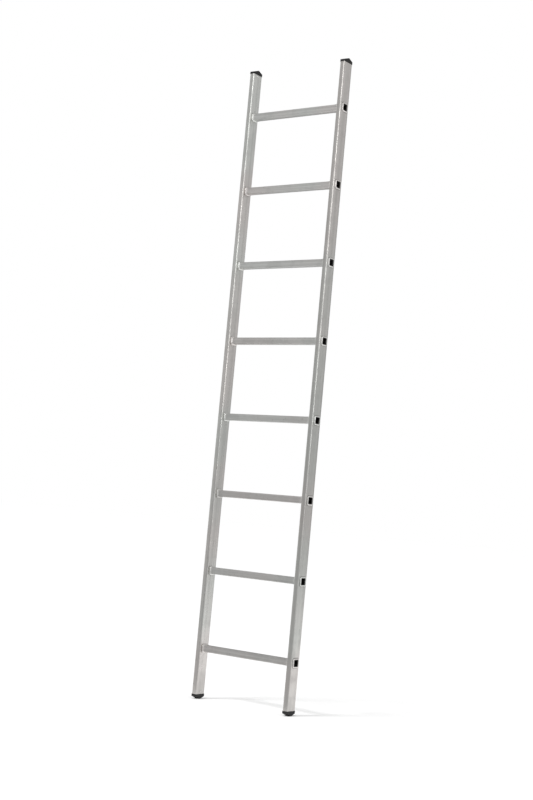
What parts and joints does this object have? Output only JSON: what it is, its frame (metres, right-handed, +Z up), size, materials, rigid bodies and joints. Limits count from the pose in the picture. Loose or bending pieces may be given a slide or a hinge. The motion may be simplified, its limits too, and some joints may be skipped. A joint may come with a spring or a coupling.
{
  "type": "leaning ladder",
  "caption": "Single-section aluminium leaning ladder with box stiles, swaged square rungs and ridged black plastic end caps.",
  "frame": {"origin": "on the ground, midway between the feet and at the middle of the stiles' depth, with the ladder upright", "axes": "+Z up along the stiles, +X along the rungs to the climber's right, +Y to the back, away from the climber"},
  "size_m": [0.4272, 0.053, 2.3206],
  "materials": {
    "stile_aluminium": "mill finish extrusion, fine lengthwise die lines, light handling wear",
    "rung_aluminium": "mill finish extrusion, lines along the rung, bright swaged ends",
    "cap_plastic": "moulded black plastic, fine grain",
    "rivet_aluminium": "plain domed blind rivet"
  },
  "bodies": {
    "root": {"left_stile": "stile_aluminium", "right_stile": "stile_aluminium", "rung_1": "rung_aluminium", "rung_2": "rung_aluminium", "rung_3": "rung_aluminium", "rung_4": "rung_aluminium", "rung_5": "rung_aluminium", "rung_6": "rung_aluminium", "rung_7": "rung_aluminium", "rung_8": "rung_aluminium", "left_foot": "cap_plastic", "right_foot": "cap_plastic", "left_top_cap": "cap_plastic", "right_top_cap": "cap_plastic", "left_foot_rivet": "rivet_aluminium", "right_foot_rivet": "rivet_aluminium", "left_top_rivet": "rivet_aluminium", "right_top_rivet": "rivet_aluminium"}
  },
  "joints": []
}
